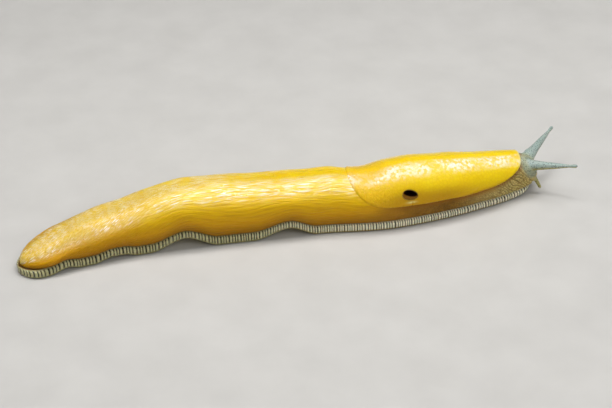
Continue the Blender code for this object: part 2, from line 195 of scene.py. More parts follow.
def furrow_places(at, share):
    """Points of the back in the furrows' own measures: forks along the body, and furrows across it."""
    table = np.arange(0, BODY_LENGTH, TABLE_STEP)
    forks = np.interp(at, table, np.cumsum(TABLE_STEP / curve(FURROW_LENGTH, table)))
    slid = np.interp(at, table, np.cumsum(TABLE_STEP * curve(FURROW_SLANT, table)))
    across = share * np.sqrt(side_length(at) * side_length(SPACED_AT))
    wander = 0.4 * np.sin(at * 0.17 + across * 0.3) + 0.15 * np.sin(at * 0.43 - across * 0.7)
    slanted = across + wander + slid * np.tanh(across / SLANT_STARTS)
    return np.stack((forks, slanted / FURROW_SPACING), -1)


def long_furrows(at, lines):
    """From 0 on the ridges to 1 in the trunk's long furrows, which wander, meet and fade out."""
    deepest = np.zeros(len(at))
    for step in (-2, -1, 0, 1, 2):
        line = np.floor(lines) + step
        wander = 0.34 * np.sin(at / 4.3 + line * 2.4) + 0.14 * np.sin(at / 1.9 + line * 5.7)
        strength = 0.5 + 0.5 * np.sin(at / 2.1 + line * 4.1 + 2 * np.sin(line * 1.3 + at / 9.7))
        strength = FAINTEST + (1 - FAINTEST) * fade(0, FAINT_UNTIL, strength)
        deepest = np.maximum(deepest, strength * bell(lines - line - 0.5 - wander, 0, LONG_FURROW_WIDTH))
    return deepest


# The foot
# One flat muscle under the whole body, that the slug glides on, edged with a fringe of small rounded lobes.
# The fringe is a rounded band, nicked crosswise between its lobes, above a smooth lower lip.

FOOT_END = 172.0
FRINGE_DEPTH, FRINGE_SQUARENESS, FOOT_SPREAD = 1.6, 0.75, -0.1
FOOT_TAIL_ROUNDING, FOOT_FRONT_ROUNDING, FOOT_TIP_REACH = 6.0, 7.0, 0.4
GROOVE_COLUMNS, GROOVE_DEPTH, FRINGE_COLUMNS, SOLE_COLUMNS = 13, 0.5, 27, 21
LOBE_LENGTH = ((0, 1.15), (40, 1.15), (75, 0.9), (110, 0.8), (135, 0.82), (150, 1.0), (172, 1.0))
NICK_DEPTH, NICK_WIDTH, SMALLEST_NICK, NICK_SIZES, NICK_SHADE = 0.34, 0.17, 0.75, 0.5, 1.5
NICKS_START, NICKS_END = (0.02, 0.12), (0.62, 0.74)  # as shares of the fringe's height, from its top
LIP_CREASE_DEPTH, LIP_CREASE_AT, LIP_CREASE_WIDTH = 0.12, 0.7, 0.04
SOLE_GROOVE_DEPTH, SOLE_GROOVE_AT, SOLE_GROOVE_WIDTH = 0.12, 0.34, 0.04
FULL_LOBES_AT = 2.0  # half the foot's width from which on its lobes have their full depth


def foot_station(at):
    """Where the foot's section is that goes with the body's section at a station: the foot is shorter."""
    tail_shift = TAIL_START * np.clip(1 - (at - TAIL_START) / TAIL_ROUNDING, 0, 1) ** 2
    overhang = BODY_LENGTH - FOOT_END
    head_shift = overhang * np.clip(1 - (BODY_LENGTH - at) / (3 * overhang), 0, 1)
    return at - tail_shift - head_shift


def fringe_outlines(at):
    """The fringe's side of each section of the foot, from its top round to the sole."""
    at = at[:, None]
    swell = round_end(at, FOOT_TAIL_ROUNDING) * round_end(FOOT_END - at, FOOT_FRONT_ROUNDING)
    reach = np.maximum(FOOT_TIP_REACH, (curve(HALF_WIDTH, at) + FOOT_SPREAD) * swell)
    depth = np.minimum(FRINGE_DEPTH, reach)
    turns = np.linspace(math.pi / 2, -math.pi / 2, FRINGE_COLUMNS)
    bulge = np.maximum(0, np.cos(turns)) ** FRINGE_SQUARENESS
    height = np.sign(np.sin(turns)) * np.abs(np.sin(turns)) ** FRINGE_SQUARENESS
    return reach - depth + depth * bulge, curve(FRINGE_HEIGHT, at) / 2 * (1 + height)


def lobe_count(at, reach):
    """How many lobes there are from the tail to each section, counted along the fringe's curved edge."""
    steps = np.hypot(np.diff(at, prepend=at[0]), np.diff(reach, prepend=reach[0]))
    return np.cumsum(steps / curve(LOBE_LENGTH, at))


def fringe_relief(lobes):
    """How deep the nicks and the crease above the lower lip are, and the nicks' shade, from top to bottom."""
    share = np.linspace(0, 1, FRINGE_COLUMNS)
    lobes = lobes + (0.12 * np.sin(lobes * 1.7) + 0.1 * np.sin(lobes * 0.61 + 1))
    nicked = fade(*NICKS_START, share) * (1 - fade(*NICKS_END, share))
    size = SMALLEST_NICK + NICK_SIZES * scatter(np.floor(lobes)[:, None], 5)
    nick = (bell(lobes % 1, 0.5, NICK_WIDTH) * size)[:, None]
    crease = bell(share, LIP_CREASE_AT, LIP_CREASE_WIDTH)
    return -NICK_DEPTH * nick * nicked - LIP_CREASE_DEPTH * crease, np.minimum(1, NICK_SHADE * nick) * nicked


# The mantle
# A smooth fleshy shield over the front of the back, fixed along its middle and free at its rounded margin.
# It stands proud of the trunk by its edge's thickness, most at the front, where the head slides under it.

MANTLE_REAR, MANTLE_FRONT = 107.4, 168.3
MANTLE_REAR_SWEEP, MANTLE_FRONT_SWEEP = 18.0, 33.0
MANTLE_REAR_ROUNDNESS, MANTLE_FRONT_ROUNDNESS = 2.4, 3.2
MANTLE_REACH = 0.76
MANTLE_SKEW = 5.0  # its front reaches further forward on the left, for each share round the body
MANTLE_EDGE = 0.9
MANTLE_STEP = ((107, 0.45), (114, 0.34), (128, 0.3), (140, 0.55), (160, 0.85), (168, 0.95))
MARGIN_CREASE = 0.14  # as a share of the step
MARGIN_CREASE_AT, MARGIN_CREASE_WIDTH = -0.15, 0.2


def mantle_depth(at, share):
    """How far inside the mantle's margin a point of the back is, in millimetres, and less than 0 outside."""
    down = np.maximum(1e-6, np.abs(share) / MANTLE_REACH)
    depths = []
    for n, sweep, from_end in (
        (MANTLE_REAR_ROUNDNESS, MANTLE_REAR_SWEEP, at - MANTLE_REAR),
        (MANTLE_FRONT_ROUNDNESS, MANTLE_FRONT_SWEEP, MANTLE_FRONT + MANTLE_SKEW * share - at),
    ):
        end = np.clip(1 - from_end / sweep, 0, FAR)
        reach = (down**n + end**n) ** (1 / n)
        slope_down, slope_along = down ** (n - 1) / (MANTLE_REACH * side_length(at)), end ** (n - 1) / sweep
        slope = reach ** (1 - n) * np.hypot(slope_down, slope_along)
        depths.append((1 - reach) / np.maximum(slope, 1e-3))
    return np.minimum(*depths)


def mantle_rise(at, share):
    """How far the mantle stands proud: a rounded edge with a narrow crease outside it."""
    depth = mantle_depth(at, share)
    crease = MARGIN_CREASE * bell(depth, MARGIN_CREASE_AT, MARGIN_CREASE_WIDTH)
    return curve(MANTLE_STEP, at) * (round_end(depth, MANTLE_EDGE) - crease)


# The body's shell
# Sack, mantle and foot are one skin on the live slug. Their outlines join here into rings round the body,
# and the rings into a closed shell.


def loft(name, grid, lie, patch, number=None, along=None, around=None):
    """A closed shell through a grid of rings, with each point's place on the skin and its map's patch."""
    rings, count = grid.shape[:2]
    half = count // 2
    index = np.arange(rings * count).reshape(rings, count)
    near, far = index[:-1], index[1:]
    quads = np.stack((near, far, np.roll(far, -1, 1), np.roll(near, -1, 1)), -1).reshape(-1, 4)
    left, right = np.arange(half + 1), -np.arange(half + 1) % count
    zips, ends = [], []
    for ring, way in ((index[0], 1), (index[-1], -1)):
        strip = np.stack((ring[left[:-1]], ring[left[1:]], ring[right[1:]], ring[right[:-1]]), -1)
        zips.append(strip[1:-1, ::way])
        ends.append(strip[0, :3][::way])
        ends.append(strip[-1, [0, 1, 3]][::way])
    faces = [quads, *zips, np.array(ends)]
    along = np.linspace(0, 1, rings) if along is None else along
    around = np.linspace(0, 1, count + 1) if around is None else around
    low, side = np.array(patch[:2]), np.array(patch[2:])
    u = np.stack((along[:-1], along[1:], along[1:], along[:-1]), -1)[:, None, :]
    v = np.stack((around[:-1], around[:-1], around[1:], around[1:]), -1)[None, :, :]
    flat = np.stack(np.broadcast_arrays(u * 0.94, v), -1).reshape(-1, 2)
    step = np.arange(half - 2)[:, None] / half + np.array((0, 1, 1, 0)) / half
    over = 0.96 + np.array((0, 0, 1, 1)) * 0.03 + 0 * step
    strips = [np.stack((over, step * 0.45 + start), -1) for start in (0, 0.5)]
    tips = np.array([((0.96, t), (0.99, t), (0.975, t + 0.01)) for t in (0.46, 0.47, 0.96, 0.97)])
    flat = np.concatenate((flat, *(strip.reshape(-1, 2) for strip in strips), tips.reshape(-1, 2)))
    mesh = bpy.data.meshes.new(name)
    sizes = np.concatenate([np.full(len(part), part.shape[1]) for part in faces])
    corners = np.concatenate([part.ravel() for part in faces])
    mesh.vertices.add(rings * count)
    mesh.vertices.foreach_set("co", grid.astype(np.float32).ravel())
    mesh.loops.add(len(corners))
    mesh.loops.foreach_set("vertex_index", corners.astype(np.int32))
    mesh.polygons.add(len(sizes))
    mesh.polygons.foreach_set("loop_start", (np.cumsum(sizes) - sizes).astype(np.int32))
    mesh.update(calc_edges=True)
    uv = mesh.uv_layers.new(name="OFBake")
    uv.uv.foreach_set("vector", (low + flat * side).astype(np.float32).ravel())
    held = mesh.attributes.new("lie", "FLOAT_VECTOR", "POINT")
    held.data.foreach_set("vector", lie.astype(np.float32).ravel())
    if number is not None:
        held = mesh.attributes.new("shell", "INT", "FACE")
        held.data.foreach_set("value", np.full(len(sizes), number, np.int32))
    shell = bpy.data.objects.new(name, mesh)
    bpy.context.scene.collection.objects.link(shell)
    return shell


BODY, UPPER, LOWER, LIPS, PORE = range(5)  # the shells' numbers
# places round the body, on from its side: where groove, fringe and sole start, and the sole's middle
GROOVE_START, FRINGE_START, SOLE_START, SOLE_MIDDLE = 1.0, 1.25, 2.0, 3.0


def body_stations():
    """Where the rings are, closer together where the body rounds off."""
    tail_turns, head_turns = (
        np.linspace(math.radians(TIP_TURN), math.pi / 2, round(length * math.pi / 2 / RING_STEP))
        for length in (TAIL_ROUNDING, HEAD_ROUNDING)
    )
    tail = TAIL_START + TAIL_ROUNDING * (1 - np.cos(tail_turns))
    head = BODY_LENGTH - HEAD_ROUNDING * (1 - np.cos(head_turns[::-1]))
    middle = np.linspace(tail[-1], head[0], round((head[0] - tail[-1]) / RING_STEP) + 1)
    return np.concatenate((tail, middle[1:-1], head))


def make_body():
    """The shell of sack, mantle and foot."""
    at = body_stations()
    foot_at = foot_station(at)
    side_out, side_up = side_outlines(at)
    fringe_out, fringe_up = fringe_outlines(foot_at)
    share = np.linspace(0, 1, SIDE_COLUMNS)
    t = np.linspace(0, 1, GROOVE_COLUMNS + 2)[1:-1]
    swell = round_end(BODY_LENGTH - at, HEAD_ROUNDING)[:, None]
    ends = side_out[:, -1:], side_up[:, -1:], fringe_out[:, :1], fringe_up[:, :1]
    bend_out = np.minimum(ends[0], ends[2]) - GROOVE_DEPTH * swell
    bend_up = (ends[1] + ends[3]) / 2
    groove_out = (1 - t) ** 2 * ends[0] + 2 * t * (1 - t) * np.maximum(0, bend_out) + t**2 * ends[2]
    groove_up = (1 - t) ** 2 * ends[1] + 2 * t * (1 - t) * bend_up + t**2 * ends[3]
    sole_share = np.linspace(1, 0, SOLE_COLUMNS + 1)[1:]
    sole_out = fringe_out[:, -1:] * sole_share
    out = np.concatenate((side_out, groove_out, fringe_out, sole_out), 1)
    up = np.concatenate((side_up, groove_up, fringe_up, 0 * sole_out), 1)

    # how far each point is pushed out: the mantle's rise, the fringe's lobes and the sole's grooves
    nicks, nick_marks = fringe_relief(lobe_count(foot_at, fringe_out.max(1)))
    lobes = nicks * np.minimum(1, fringe_out.max(1) / FULL_LOBES_AT)[:, None]
    sole = -SOLE_GROOVE_DEPTH * bell(sole_share, SOLE_GROOVE_AT, SOLE_GROOVE_WIDTH) * np.ones((len(at), 1))
    marks = np.concatenate((0 * side_out, 0 * groove_out, nick_marks, 0 * sole), 1)
    slope_out, slope_up = np.gradient(out, axis=1), np.gradient(up, axis=1)
    length = np.maximum(1e-9, np.hypot(slope_out, slope_up))

    stations = np.concatenate((
        np.repeat(at[:, None], SIDE_COLUMNS, 1),
        at[:, None] + (foot_at - at)[:, None] * t,
        np.repeat(foot_at[:, None], FRINGE_COLUMNS + SOLE_COLUMNS, 1),
    ), 1)
    round_body = np.concatenate((
        share,
        GROOVE_START + (FRINGE_START - GROOVE_START) * t,
        np.linspace(FRINGE_START, SOLE_START, FRINGE_COLUMNS),
        np.linspace(SOLE_START, SOLE_MIDDLE, SOLE_COLUMNS + 1)[1:],
    ))
    halves = []
    for side in (1, -1):
        proud = np.concatenate((mantle_rise(at[:, None], side * share), 0 * groove_out, lobes, sole), 1)
        pushed_out = out - proud * slope_up / length
        pushed_out[:, 0] = pushed_out[:, -1] = 0
        halves.append(place(stations, side * pushed_out, np.maximum(0, up + proud * slope_out / length)))
    grid = np.concatenate((halves[0], halves[1][:, -2:0:-1]), 1)
    rounds = np.concatenate((round_body, -round_body[-2:0:-1]))
    stations, marks = (np.concatenate((half, half[:, -2:0:-1]), 1) for half in (stations, marks))
    lie = np.stack((stations, rounds + 0 * stations, marks), -1)
    steps = np.linalg.norm(np.diff(np.concatenate((grid, grid[:, :1]), 1), axis=1), axis=2).mean(0)
    around = np.concatenate(([0], np.cumsum(steps))) / steps.sum()
    along = (at - at[0]) / (at[-1] - at[0])
    return loft("body_shell", grid, lie, (0.01, 0.01, 0.98, 0.42), BODY, along, around)


body_shell = make_body()

# The upper tentacles
# A pair of long hollow feelers that the slug can pull in, of granular grey-green skin. Each swells at its
# root and ends in a small pale bulb that the eye is sunk in.

UPPER_ROOTS = {"left": (172.2, 1.3), "right": (169.1, -1.9)}  # (station, out to the left)
UPPER_ROOT_HEIGHT, UPPER_BEND = 9.3, 0.2
UPPER_LENGTH = {"left": 18.25, "right": 17.45}
UPPER_HEADING, UPPER_PITCH = {"left": 38.0, "right": -39.7}, {"left": 8.4, "right": 10.3}
UPPER_RADII = (
    (0.0, 2.3), (0.1, 2.2), (0.2, 1.82), (0.32, 1.48), (0.5, 1.2), (0.66, 0.94), (0.82, 0.62), (0.9, 0.48),
    (0.96, 0.58), (1.0, 0.56),
)
EYE_RADIUS, EYE_PROUD = 0.4, 0.35
# from the end of the feeler: how far on and how wide the bulb is, round its rim and back into the socket
BULB = (
    (0.15, 0.56), (0.3, 0.53), (0.43, 0.47), (0.54, 0.39), (0.61, 0.32), (0.64, 0.275), (0.62, 0.3),
    (0.55, 0.36), (0.4, 0.41), (0.2, 0.385), (0.05, 0.28), (-0.03, 0.15), (-0.06, 0.05),
)
FEELER_STEP, FEELER_COLUMNS = 0.14, 64


def feeler_path(root, height, heading, pitch):
    """Where a feeler starts, in metres, the way along it, and two ways across it."""
    heading, pitch = math.radians(heading), math.radians(pitch)
    way = Vector((math.cos(heading) * math.cos(pitch), math.sin(heading) * math.cos(pitch), math.sin(pitch)))
    across = way.cross(Vector((0, 0, 1))).normalized()
    return [np.array(v) for v in (place(root[0], root[1], height), way, across, across.cross(way))]


def make_feeler(name, path, length, bend, radii, patch, number, tip=()):
    """A tapering round feeler, with its tip's own profile where it has one."""
    start, way, across, upward = path
    t = np.linspace(0, 1, round(length / FEELER_STEP) + 1)
    along = np.concatenate((t * length, [length + step for step, radius in tip]))
    radius = np.concatenate((curve(radii, t), [radius for step, radius in tip]))
    arch = bend * np.minimum(1, along / length) ** 2
    turns = np.linspace(0, 2 * math.pi, FEELER_COLUMNS, endpoint=False)
    ring = np.cos(turns)[:, None] * across + np.sin(turns)[:, None] * upward
    middle = along[:, None] * way + arch[:, None] * upward
    grid = start + (middle[:, None] + radius[:, None, None] * ring) * MM
    lie = np.stack(np.broadcast_arrays(along[:, None], turns, along[:, None] / length), -1)
    return loft(name, grid, lie, patch, number)


upper_paths = {
    side: feeler_path(UPPER_ROOTS[side], UPPER_ROOT_HEIGHT, UPPER_HEADING[side], UPPER_PITCH[side])
    for side in ("left", "right")
}
upper_shells = [
    make_feeler(
        f"upper_{side}_shell", path, UPPER_LENGTH[side], UPPER_BEND, UPPER_RADII,
        (0.01 + 0.33 * k, 0.45, 0.32, 0.25), UPPER, BULB,
    )
    for k, (side, path) in enumerate(upper_paths.items())
]

# The lower tentacles
# A short pair beside the mouth, which smell and taste the ground ahead, of the same skin, and blunt.
# They hang forward and out from the sides of the snout.

LOWER_ROOTS = {"left": (172.0, 2.6), "right": (172.0, -2.6)}
LOWER_ROOT_HEIGHT, LOWER_LENGTH, LOWER_BEND = 5.2, 5.6, -0.3
LOWER_HEADING, LOWER_PITCH = {"left": 62.0, "right": -66.0}, -40.0
LOWER_RADII = ((0.0, 1.0), (0.3, 0.85), (0.7, 0.6), (0.92, 0.55), (1.0, 0.4))
LOWER_TIP = ((0.08, 0.34), (0.14, 0.24), (0.17, 0.1))
lower_shells = [
    make_feeler(
        f"lower_{side}_shell", feeler_path(root, LOWER_ROOT_HEIGHT, LOWER_HEADING[side], LOWER_PITCH),
        LOWER_LENGTH, LOWER_BEND, LOWER_RADII, (0.67 + 0.16 * k, 0.45, 0.15, 0.12), LOWER, LOWER_TIP,
    )
    for k, (side, root) in enumerate(LOWER_ROOTS.items())
]

# The lips
# Two soft cushions below the front of the head, parted by the mouth's upright slit, of puckered head skin.
# They are one oval form with the slit sunk in its front.

LIPS_AT, LIPS_HEIGHT = 173.9, 3.4
LIPS_LENGTH, LIPS_WIDTH, LIPS_THICKNESS = 3.0, 4.8, 2.8
MOUTH_WIDTH, MOUTH_DEPTH, MOUTH_STARTS = 0.35, 0.8, (0.2, 0.6)
LIPS_RINGS, LIPS_COLUMNS, LIPS_POLES = 48, 96, (4, 176)


def make_lips():
    """The lips' shell."""
    way = np.append(way_along(np.array(LIPS_AT)), 0)
    across = np.cross(way, (0, 0, 1))
    upward = np.cross(across, way)
    polar = np.radians(np.linspace(*LIPS_POLES, LIPS_RINGS))[:, None]
    turns = np.linspace(0, 2 * math.pi, LIPS_COLUMNS, endpoint=False)
    aside, rise = np.sin(polar) * np.cos(turns), np.sin(polar) * np.sin(turns)
    forward = -np.cos(polar) + 0 * turns
    slit = bell(aside * LIPS_WIDTH / 2, 0, MOUTH_WIDTH) * fade(*MOUTH_STARTS, forward)
    shape = (
        (forward * LIPS_LENGTH / 2 - MOUTH_DEPTH * slit)[..., None] * way
        + (aside * LIPS_WIDTH / 2)[..., None] * across
        + (rise * LIPS_THICKNESS / 2)[..., None] * upward
    )
    lie = np.stack((forward, aside, slit), -1)
    return loft("lips_shell", place(LIPS_AT, 0, LIPS_HEIGHT) + shape * MM, lie, (0.67, 0.6, 0.3, 0.1), LIPS)


lips_shell = make_lips()

# The breathing pore
# The one opening to the lung, in the mantle's right side: a hole with a soft rim under an arched upper lip.
# It is cut out of the body with a form that narrows and turns up inside.

PORE_AT, PORE_SHARE = 125.4, -0.59
PORE_TILT = 20.0  # its front end is lower
PORE_PROUD = 0.7  # of the body's outline, as the mantle is
PORE_RINGS, PORE_COLUMNS = 40, 72
# for each depth below the skin: half the hole's length, half its height, and how far up its middle is
PORE_FORM = (
    (-1.2, 3.2, 2.6, -0.5), (-0.5, 2.9, 2.4, -0.45), (0.0, 2.75, 2.2, -0.4), (0.4, 2.65, 1.75, 0.05),
    (0.9, 2.45, 1.05, 0.7), (1.5, 2.3, 0.9, 0.85), (2.6, 1.8, 0.7, 1.0), (3.4, 0.9, 0.4, 1.1),
)


def side_point(at, share, proud):
    """A point of the body's side, proud of its outline, in metres, and the way out of the body there."""
    out, up = side_outlines(np.array([at]))
    column = abs(share) * (SIDE_COLUMNS - 1)
    columns = np.arange(SIDE_COLUMNS)
    spots = [
        np.array([np.interp(column + step, columns, line[0]) for line in (out, up)]) for step in (-1, 0, 1)
    ]
    slope = (spots[2] - spots[0]) / np.linalg.norm(spots[2] - spots[0])
    side = math.copysign(1, share)
    spot = spots[1] + np.array((-slope[1], slope[0])) * proud
    base, lifted = place(at, spots[1][0] * side, spots[1][1]), place(at, spot[0] * side, spot[1])
    outward = (lifted - base) / np.linalg.norm(lifted - base)
    return lifted, outward


def make_pore():
    """The form that the pore is cut with."""
    centre, outward = side_point(PORE_AT, PORE_SHARE, PORE_PROUD)
    along = np.append(way_along(np.array(PORE_AT)), 0)
    upward = np.cross(along, -outward)
    upward = upward / np.linalg.norm(upward) * np.sign(upward[2])
    across = np.cross(-outward, upward)
    tilt = math.radians(PORE_TILT)
    across, upward = (
        across * math.cos(tilt) - upward * math.sin(tilt), across * math.sin(tilt) + upward * math.cos(tilt)
    )
    turns = np.linspace(0, 2 * math.pi, PORE_COLUMNS, endpoint=False)
    rows = np.linspace(0, len(PORE_FORM) - 1, PORE_RINGS)
    depth, length, height, raised = (
        np.interp(rows, np.arange(len(PORE_FORM)), column)[:, None] for column in np.array(PORE_FORM).T
    )
    shape = (
        (-depth + 0 * turns)[..., None] * outward
        + (length * np.cos(turns))[..., None] * across
        + (height * np.sin(turns) + raised)[..., None] * upward
    )
    lie = np.stack(np.broadcast_arrays(depth, turns, 0.0), -1)
    return loft("pore_form", centre + shape * MM, lie, (0.01, 0.72, 0.2, 0.1), PORE)


pore_form = make_pore()

# The skin
# The whole slug wears one wet skin. The shells join into it, every joint is smoothed to a fillet, and then
# comes its relief: furrows on trunk and tail, fine grain on the mantle, pebbles on the head and tentacles.


def join_shells(first, others, operation):
    """Joins the other shells to the first one, or cuts them out of it."""
    for other in others:
        change = first.modifiers.new(other.name, "BOOLEAN")
        change.operation = operation
        change.solver = "MANIFOLD"
        change.object = other
        now = bpy.context.evaluated_depsgraph_get()
        changed = first.evaluated_get(now)
        mesh = bpy.data.meshes.new_from_object(changed, preserve_all_data_layers=True, depsgraph=now)
        first.modifiers.clear()
        first.data = mesh
        bpy.data.objects.remove(other)


join_shells(body_shell, [*upper_shells, *lower_shells, lips_shell], "UNION")
join_shells(body_shell, [pore_form], "DIFFERENCE")
skin = body_shell
skin.name = "slug_skin"
skin.data.name = "slug_skin"


def read(data, name, width, kind=np.float32):
    """A mesh's values of one kind, as rows of the given width."""
    found = np.empty(len(data) * width, kind)
    data.foreach_get(name, found)
    return found.reshape(-1, width) if width > 1 else found


mesh = skin.data
points = read(mesh.vertices, "co", 3).astype(float) / MM
edges = read(mesh.edges, "vertices", 2, np.int32)
corner_points = read(mesh.loops, "vertex_index", 1, np.int32)
corner_shells = np.repeat(
    read(mesh.attributes["shell"].data, "value", 1, np.int32), read(mesh.polygons, "loop_total", 1, np.int32)
)
lowest, shell_at = np.full(len(points), PORE), np.full(len(points), BODY)
np.minimum.at(lowest, corner_points, corner_shells)
np.maximum.at(shell_at, corner_points, corner_shells)
joints = lowest != shell_at  # the new points where two shells meet, which have no place of their own yet

FILLETS = {UPPER: 2.0, LOWER: 1.5, LIPS: 1.2, PORE: 0.5}  # how far each joint is smoothed, either way
MARKS_SPREAD, ROOT_SPREAD = 0.9, 3.4
FILLET_ROUNDS, JOINT_ROUNDS, MARKS_ROUNDS = 60, 15, 25
SHINE_REACH, MORE_ON_TAIL, SHINE_TAIL, LESS_ON_MANTLE = 0.46, 0.14, (20, 50), 0.12
SHINE_FADE, SHEEN_FADE, LEFT_TOP_SHIFT = 0.12, 0.04, 0.14
DRIER_FLANK, WETTER_FRINGE, WETTER_HEAD, WET_PORE, WET_FEELER = 0.94, 0.45, 0.2, 0.05, 0.9
DRIER_TOP, TOP_PLACES, TOP_STATIONS = 0.7, (0.02, 0.12), (60, 85)


def closeness(marked, reach):
    """From 1 at the marked points to 0 at the reach from them."""
    spots = points[marked]
    tree = kdtree.KDTree(len(spots))
    for number, spot in enumerate(spots):
        tree.insert(spot, number)
    tree.balance()
    near = np.flatnonzero((np.abs(points - spots.mean(0)) < np.ptp(spots, 0) + reach).all(1))
    close = np.zeros(len(points))
    close[near] = [max(0.0, 1 - tree.find(spot)[2] / reach) for spot in points[near]]
    return close


def relaxed(values, weights, rounds):
    """The values, each drawn towards the mean of its neighbours by its weight, again and again."""
    pairs = edges[(weights[edges] > 0).any(1)]
    ends, others = pairs.ravel(), pairs[:, ::-1].ravel()
    weights = (weights / np.maximum(1, np.bincount(ends, minlength=len(values))))[:, None]
    count = np.bincount(ends, minlength=len(values))[:, None]
    for _ in range(rounds):
        sums = [np.bincount(ends, column[others], len(values)) for column in values.T]
        values = values + weights * (np.stack(sums, -1) - count * values)
    return values


for shell, reach in FILLETS.items():
    if shell in (UPPER, LOWER):
        sides = [joints & (shell_at == shell) & (points[:, 1] * side > 0) for side in (1, -1)]
    else:
        sides = [joints & (shell_at == shell)]
    for marked in sides:
        points = relaxed(points, closeness(marked, reach), FILLET_ROUNDS)
mesh.vertices.foreach_set("co", (points * MM).astype(np.float32).ravel())
mesh.update()
outward = read(mesh.vertex_normals, "vector", 3).astype(float)

# where each point lies: its station and place round the body, or its distance along and turn round a feeler,
# and last how deep it is in a nick of the fringe, or its share of the feeler's length
at, turn, last = read(mesh.attributes["lie"].data, "vector", 3).astype(float).T
on_body = (shell_at == BODY) & ~joints
feeler = ((shell_at == UPPER) | (shell_at == LOWER)) & ~joints
around = np.abs(turn)
share = np.clip(turn, -1, 1)
side = on_body & (around <= 1)
depth = np.where(side, mantle_depth(at, share), -FAR)
mantle = side * fade(-0.1, 0.15, depth)
# the rim: the mantle's front edge in paler lemon, partly its own colour and partly a painted highlight
rim = side * bell(depth, 0.4, 0.4) * fade(162, 167, at) * fade(-0.5, -0.1, share)
# painted shade: brown along the mantle's lower margin and in the hollow beside and below the pore
margin = side * (1 - fade(0.3, 2.0, depth)) * fade(0.5, 0.68, around) * fade(118, 132, at)
beside_pore = side * fade(0.46, 0.64, around) * fade(112, 124, at) * (1 - fade(136, 152, at))
margin = np.maximum(margin, 0.9 * beside_pore)
# painted shade: brown on the skin just outside the mantle's margin, under its overhanging edge
below_margin = side * (1 - fade(0.0, 2.6, -depth)) * (1 - mantle) * fade(112, 128, at)
# the flank turns amber and then umber towards the groove: partly its own ochre, partly painted shade
low = on_body * fade(0.3, 0.85, around) * (1 - 0.5 * mantle)
# painted shade: the tail's end is a darker gold, most on its lower flank
tail_end = on_body * (1 - fade(14, 60, at)) * (0.3 + 0.7 * fade(0.15, 0.5, around))
lowest_flank = on_body * fade(0.72, 1.0, around)
neck = fade(104, 136, at) * fade(0.60, 0.84, around)
olive = np.where(on_body, (1 - mantle) * np.maximum(neck, fade(150, 158, at)), 1.0)
head = np.where(on_body, (1 - mantle) * fade(138, 163, at), 1.0)
shield_rear = mantle * (1 - fade(112, 134, at))
# painted shade: the groove between sack and fringe is painted dark
groove = on_body * bell(around, 1.13, 0.1)
fringe = on_body * fade(1.2, 1.3, around) * (1 - fade(1.95, 2.05, around))
lower_lip = fringe * fade(1.66, 1.74, around)
ahead = on_body * fade(60, 135, at)
sole = on_body * fade(1.97, 2.06, around)
# painted glow: the upper feelers' lower side is yellow, for light shining through; the lower feelers are
# mostly yellow
under = np.where(feeler, fade(0.35, 0.8, (1 - np.sin(turn)) / 2), 0.4)
under = np.where(shell_at == LOWER, 0.85, under)
# painted shade: the pore's deep inside is painted near black
hole = np.where(shell_at == PORE, fade(0.8, 1.4, at), 0.0)
ledge = np.where(shell_at == PORE, fade(-0.6, 0.2, at), 0.0)
nick = np.where(on_body, last, 0.0)
# the shine reaches further round the tail and less far round the mantle, and the trunk's very top is drier
glossy = SHINE_REACH + MORE_ON_TAIL * (1 - fade(*SHINE_TAIL, at)) - LESS_ON_MANTLE * mantle
flank = fade(glossy - SHINE_FADE, glossy + SHINE_FADE, around)
wet = 1 - DRIER_FLANK * flank + WETTER_FRINGE * fringe + WETTER_HEAD * head
wet = wet * (1 - DRIER_TOP * (1 - fade(*TOP_PLACES, around)) * fade(*TOP_STATIONS, at))
wet = np.where(on_body, wet, np.where(shell_at == PORE, WET_PORE, WET_FEELER))
# the sheen: where a pale highlight is painted into the colour, along the upper flank and less at the very top
sheen = side * (1 - fade(glossy - SHINE_FADE, glossy + SHEEN_FADE, around)) * (1 - olive)
off_top = fade(*TOP_PLACES, around - LEFT_TOP_SHIFT * (share > 0))
sheen = sheen * (1 - (1 - off_top) * fade(*TOP_STATIONS, at))
near_root = closeness(joints & (shell_at == UPPER), ROOT_SPREAD)
granular_skin = np.maximum(feeler, fade(0.0, 0.6, near_root) * on_body * (1 - mantle))

# the relief
MANTLE_GRAIN, MANTLE_GRAIN_DEPTH = 1.2, 0.08
PEBBLE, PEBBLE_DEPTH = 0.85, 0.1
FOLD_SPACING, FOLD_SLANT, FOLD_WIDTH, FOLD_DEPTH = 1.9, 1.1, 0.13, 0.3
GRANULE, GRANULE_DEPTH = 0.6, 0.06
GRAIN_SHARPNESS = 0.2
WRINKLE_HEIGHT, SWELL_HEIGHT, MANTLE_GRAIN_SHADE = 0.035, 0.06, 0.4
# the pore's hollow, its lower lip and the slit in that, and the slime pit at the tip of the tail
HOLLOW_DEPTH, PORE_LIP_HEIGHT, SLIT_DEPTH, PIT_DEPTH = 0.35, 0.16, 0.3, 0.45


def grain(where, size, salt):
    """From 0 on the swells of a rounded grain to 1 in the creases between them, where it is asked for."""
    creases = np.zeros(len(points))
    creases[where] = np.exp(-cell_edges(points[where] / size, salt) / GRAIN_SHARPNESS)
    return creases


